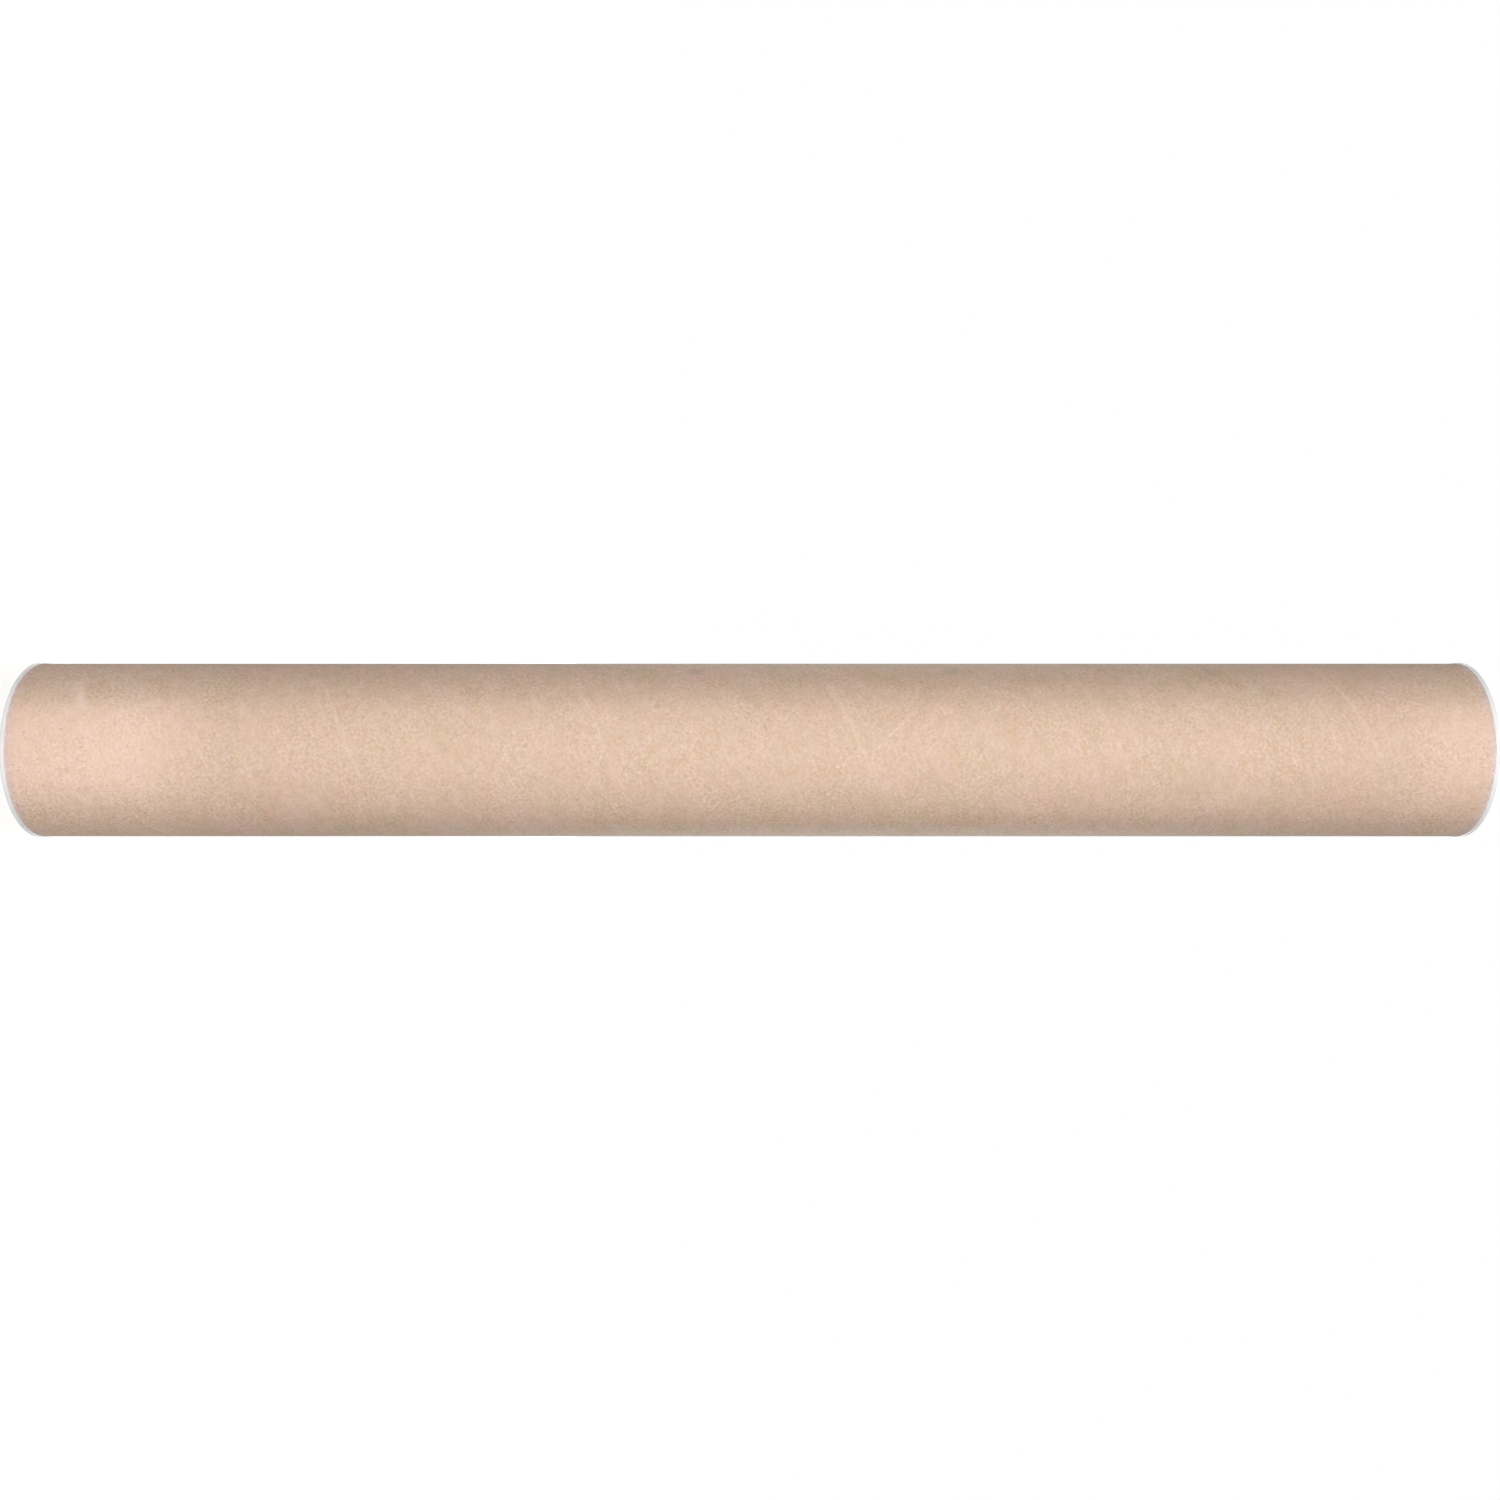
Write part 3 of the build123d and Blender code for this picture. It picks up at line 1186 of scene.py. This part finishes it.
@dataclass
class EndPlug:
    """A push-in plug: a rim that covers the tube's end, and a ribbed skirt closed by a sunken web."""

    body: str
    facing: Facing
    seat: float
    bore_radius: float = millimetres(38.1)
    rim_radius: float = millimetres(40.3)
    rim_thickness: float = millimetres(2.0)
    rim_round: float = millimetres(0.5)
    seat_bevel: float = millimetres(0.15)
    mouth_round: float = millimetres(0.8)
    skirt_depth: float = millimetres(18.0)
    skirt_wall: float = millimetres(1.4)
    skirt_clearance: float = millimetres(0.35)
    skirt_taper: float = math.radians(1.0)
    lead_depth: float = millimetres(1.6)
    lead_bevel: float = millimetres(0.8)
    web_thickness: float = millimetres(1.5)
    web_round: float = millimetres(1.1)
    gate_radius: float = millimetres(1.5)
    gate_height: float = millimetres(0.5)
    gate_round: float = millimetres(0.25)
    rib_count: int = 16
    rib_width: float = millimetres(1.3)
    rib_start: float = millimetres(1.5)
    rib_end: float = millimetres(13.5)
    rib_lead: float = millimetres(3.0)
    rib_clearance: float = millimetres(0.05)
    rib_round: float = 0.2
    rib_round_steps: int = 3
    segments: int = 160
    round_steps: int = 7
    sharp_angle: float = math.radians(32.0)

    @property
    def outer_face(self) -> float:
        """The height of the rim's outer face."""
        return self.seat + self.facing.value * self.rim_thickness

    def skirt_radius(self, height: float) -> float:
        """The skirt's outer radius at a height over the seat, which is below 0 in the tube."""
        return self.bore_radius - self.skirt_clearance + height * math.tan(self.skirt_taper)

    def arc(self, centre: Pair, radius: float, begin: float, end: float) -> list[Pair]:
        """Points on a round in the profile.

        Args:
            centre: The round's centre.
            radius: Its radius.
            begin: The angle that it begins at, in degrees.
            end: The angle that it ends at.

        Returns:
            The points, in order.
        """
        shares = (step / self.round_steps for step in range(self.round_steps + 1))
        turns = [math.radians(begin + (end - begin) * share) for share in shares]
        return [(centre[0] + radius * math.cos(turn), centre[1] + radius * math.sin(turn)) for turn in turns]

    def profile(self) -> list[Pair]:
        """The turned outline, from the middle of the web's inside to the middle of its outside.

        Returns:
            Each point's radius and its height over the seat.
        """
        depth, rim, thick = self.skirt_depth, self.rim_round, self.rim_thickness
        mouth, web, gate = self.mouth_round, self.web_round, self.gate_round
        web_face = self.web_thickness - depth
        gate_top = web_face + self.gate_height
        mouth_radius = self.skirt_radius(thick - mouth) - self.skirt_wall
        corner_radius = self.skirt_radius(web_face + web) - self.skirt_wall
        return [
            (0.0, -depth),
            (self.skirt_radius(-depth) - self.lead_bevel, -depth),
            (self.skirt_radius(self.lead_depth - depth), self.lead_depth - depth),
            (self.skirt_radius(0.0), 0.0),
            (self.rim_radius - self.seat_bevel, 0.0),
            (self.rim_radius, self.seat_bevel),
            *self.arc((self.rim_radius - rim, thick - rim), rim, 0, 90),
            *self.arc((mouth_radius + mouth, thick - mouth), mouth, 90, 180),
            *self.arc((corner_radius - web, web_face + web), web, 0, -90),
            (self.gate_radius + gate, web_face),
            *self.arc((self.gate_radius - gate, gate_top - gate), gate, 0, 90),
            (0.0, gate_top),
        ]

    def shell(self) -> bpy.types.Mesh:
        """Turns the profile once round the axis, into a closed mesh with a point at either pole.

        Returns:
            The plug without its ribs.
        """
        (_, inside), *outline, (_, outside) = self.profile()
        spots = [(0.0, 0.0, inside), (0.0, 0.0, outside)]
        columns = []
        for step in range(self.segments):
            turn = FULL_TURN * step / self.segments
            cosine, sine = math.cos(turn), math.sin(turn)
            first = len(spots)
            spots += [(radius * cosine, radius * sine, height) for radius, height in outline]
            columns.append([0, *range(first, len(spots)), 1])
        faces = []
        for near, far in zip(columns, columns[1:] + columns[:1]):
            for corners in zip(near, far, far[1:], near[1:]):
                faces.append(tuple(dict.fromkeys(corners)))
        mesh = bpy.data.meshes.new(self.body)
        mesh.from_pydata(spots, [], faces)
        return mesh

    def rib(self) -> bpy.types.Mesh:
        """One crush rib at angle 0, its foot in the skirt's wall and its crest against the bore.

        Returns:
            The rib.
        """
        foot = self.skirt_radius(-self.rib_end) - self.skirt_wall / 2
        crest = self.bore_radius - self.rib_clearance
        outline = [
            (foot, -self.rib_start),
            (crest, -self.rib_start),
            (crest, self.rib_lead - self.rib_end),
            (self.skirt_radius(-self.rib_end), -self.rib_end),
            (foot, -self.rib_end),
        ]
        form = bmesh.new()
        sides = (-self.rib_width / 2, self.rib_width / 2)
        left, right = ([form.verts.new((x, side, z)) for x, z in outline] for side in sides)
        form.faces.new(left)
        form.faces.new(reversed(right))
        corners = list(zip(left, right))
        for (near_left, near_right), (far_left, far_right) in zip(corners, corners[1:] + corners[:1]):
            form.faces.new((near_left, near_right, far_right, far_left))
        bmesh.ops.recalc_face_normals(form, faces=form.faces)
        near_crest = crest - self.rib_clearance
        crests = [edge for edge in form.edges if all(vert.co.x > near_crest for vert in edge.verts)]
        rounding = {"offset": self.rib_width * self.rib_round, "segments": self.rib_round_steps}
        bmesh.ops.bevel(form, geom=crests, affect="EDGES", clamp_overlap=True, **rounding)
        mesh = bpy.data.meshes.new("crush_rib")
        form.to_mesh(mesh)
        form.free()
        return mesh

    def ribbed_recipe(self, rib: bpy.types.Object, plastic: bpy.types.Material) -> Recipe:
        """The tree that sets the crush ribs round the shell and dresses the whole plug.

        Args:
            rib: The rib at angle 0.
            plastic: The plug's material.

        Returns:
            The recipe, which works on the shell's own mesh.
        """
        recipe = Recipe.start("ribbed_plug", {"Rib": rib, "Ribs": self.rib_count}, takes_mesh=True)
        one, count = recipe.given()
        line = {"Count": count, "Offset": (0.0, 0.0, 0.0)}
        ring = recipe.add("GeometryNodeInstanceOnPoints", {
            "Points": recipe.add("GeometryNodeMeshLine", line, mode="OFFSET"),
            "Instance": recipe.add("GeometryNodeObjectInfo", {"Object": one}, "Geometry"),
            "Rotation": recipe.add("ShaderNodeCombineXYZ", {
                "Z": recipe.add("GeometryNodeInputIndex") * FULL_TURN / count,
            }),
        })
        joined = recipe.join(recipe.wire(recipe.inlet, "Geometry"), ring)
        real = recipe.add("GeometryNodeRealizeInstances", {"Geometry": joined})
        recipe.finish(recipe.painted(recipe.smoothed(real, self.sharp_angle), plastic))
        return recipe

    def build(self, plastic: bpy.types.Material) -> bpy.types.Object:
        """Builds the plug and puts it in the place of its CAD node.

        Args:
            plastic: The plug's material.

        Returns:
            The finished plug.
        """
        piece = new_piece(f"{self.body}_moulding", self.shell())
        rib = new_piece("crush_rib", self.rib())
        mesh = self.ribbed_recipe(rib, plastic).make(piece)
        turn = Matrix.Identity(4) if self.facing is Facing.UP else Matrix.Rotation(math.pi, 4, "X")
        mesh.transform(Matrix.Translation((0, 0, self.seat)) @ turn)
        piece.data = mesh
        bpy.data.objects.remove(rib)
        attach(piece, self.body)
        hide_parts(self.body)
        return piece


# The studio


class Lamp(NamedTuple):
    """A soft rectangular lamp: where it stands, its width and height, its power in watts and its tint."""

    name: str
    place: Point
    size: Pair
    power: float
    tint: Point = (1.0, 1.0, 1.0)


@dataclass
class Studio:
    """The white sweep, the soft lamps and the camera."""

    middle: float = millimetres(327.0)
    camera_distance: float = millimetres(686.7)
    lens: float = 35.64
    sensor: float = 36.0
    clip_start: float = millimetres(10)
    clip_end: float = 50.0
    floor_size: float = 12.0
    floor_paint: Colour = (0.33, 0.33, 0.33, 1.0)
    floor_glow: Step = Step(0.1, 2.2, 0.82, 1.0)
    ambient: float = 0.02
    tall: Pair = (0.5, 1.5)
    side_tint: Point = (0.95, 1.0, 0.98)
    side_powers: Pair = (11.5, 19.5)
    side_angle: float = math.radians(143.0)
    side_distance: float = 2.0

    def floor(self) -> None:
        """The floor that the tube stands on: white to the camera, with the tube's shadow on it."""
        half = self.floor_size / 2
        mesh = bpy.data.meshes.new("floor")
        corners = [(x * half, y * half, 0) for x, y in ((-1, -1), (1, -1), (1, 1), (-1, 1))]
        mesh.from_pydata(corners, [], [(0, 1, 2, 3)])
        piece = new_piece("floor", mesh)
        material = bpy.data.materials.new("white_sweep")
        graph = ShaderGraph(emptied(material))
        away = graph.vector("LENGTH", graph.place, output="Value")
        strength = self.seen_directly(graph) * graph.ramp(away, *self.floor_glow)
        paint = graph.add("ShaderNodeBsdfDiffuse", {"Color": self.floor_paint})
        glow = graph.add("ShaderNodeEmission", {"Color": WHITE, "Strength": strength})
        both = graph.add("ShaderNodeAddShader", {0: paint, 1: glow})
        graph.node("ShaderNodeOutputMaterial", {"Surface": both})
        mesh.materials.append(material)

    @staticmethod
    def seen_directly(graph: Graph) -> Wire:
        """Tells the rays that show the background: the camera's, and those in gloss and glass.

        Args:
            graph: The nodes of the floor or the world.

        Returns:
            1 for those rays, and 0 for the rest.
        """
        path = graph.node("ShaderNodeLightPath")
        rays = ("Is Camera Ray", "Is Glossy Ray", "Is Transmission Ray")
        return graph.most(*(graph.wire(path, ray) for ray in rays))

    def world(self) -> None:
        """A white backdrop to the camera, and an even, weaker light on the tube."""
        world = bpy.data.worlds.new("studio")
        bpy.context.scene.world = world
        graph = Graph(emptied(world))
        strength = self.seen_directly(graph) * (1.0 - self.ambient) + self.ambient
        back = graph.add("ShaderNodeBackground", {"Color": WHITE, "Strength": strength})
        graph.node("ShaderNodeOutputWorld", {"Surface": back})

    def lamps(self) -> list[Lamp]:
        """The lamps: one in front, a low one near the lower end, and the rest behind and above.

        Returns:
            The lamps, in order.
        """
        across = self.side_distance * math.sin(self.side_angle)
        behind = -self.side_distance * math.cos(self.side_angle)
        sides = [
            Lamp(f"side_lamp_{side}", (side * across, behind, self.middle), self.tall, power, self.side_tint)
            for side, power in zip((-1, 1), self.side_powers)
        ]
        return [
            Lamp("front_lamp", (-0.03, -1.9, self.middle), self.tall, 43.5),
            Lamp("low_lamp", (0.0, -0.85, 0.06), (0.3, 0.1), 0.42),
            *sides,
            Lamp("rear_lamp", (0.0, 2.1, 0.1), (0.8, 1.0), 9.0),
            Lamp("top_lamp", (0.0, 0.9, 2.1), (0.8, 0.8), 27.0),
        ]

    def light(self, lamp: Lamp) -> None:
        """Puts a lamp in the scene, faced at the tube's middle, its long side upright.

        Args:
            lamp: The lamp.
        """
        data = bpy.data.lights.new(lamp.name, "AREA")
        data.shape = "RECTANGLE"
        data.size, data.size_y = lamp.size
        data.energy = lamp.power
        data.color = lamp.tint
        light = bpy.data.objects.new(lamp.name, data)
        bpy.context.scene.collection.objects.link(light)
        aim = Vector((0, 0, self.middle)) - Vector(lamp.place)
        turn = aim.to_track_quat("-Z", "Y").to_matrix().to_4x4()
        light.matrix_world = Matrix.Translation(lamp.place) @ turn

    def camera(self) -> None:
        """The camera at the photograph's viewing angle, rolled by a quarter turn."""
        data = bpy.data.cameras.new("camera")
        data.lens = self.lens
        data.sensor_width = self.sensor
        data.clip_start = self.clip_start
        data.clip_end = self.clip_end
        camera = bpy.data.objects.new("camera", data)
        bpy.context.scene.collection.objects.link(camera)
        right, up, back = Vector((0, 0, 1)), Vector((-1, 0, 0)), Vector((0, -1, 0))
        turn = Matrix((right, up, back)).transposed().to_4x4()
        camera.matrix_world = Matrix.Translation((0, -self.camera_distance, self.middle)) @ turn
        bpy.context.scene.camera = camera

    def build(self) -> None:
        """Sets up the floor, the light and the camera."""
        bpy.context.scene.view_settings.view_transform = "Standard"
        self.camera()
        self.floor()
        self.world()
        for lamp in self.lamps():
            self.light(lamp)


def main() -> None:
    """Builds the studio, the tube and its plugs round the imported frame, and reports each piece."""
    logging.basicConfig(level=logging.INFO, format="%(name)s: %(message)s")
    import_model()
    Studio().build()
    wall = WoundWall()
    top = EndPlug("top_plug", Facing.UP, wall.upper_end)
    bottom = EndPlug("bottom_plug", Facing.DOWN, wall.lower_end)
    pieces = [wall.build()]
    plastic = MouldedPlastic(top.rim_radius, bottom.outer_face, top.outer_face).material()
    pieces += [plug.build(plastic) for plug in (top, bottom)]
    for piece in pieces:
        LOG.info("%s: %d faces", piece.name, len(piece.data.polygons))


if __name__ == "__main__":
    main()
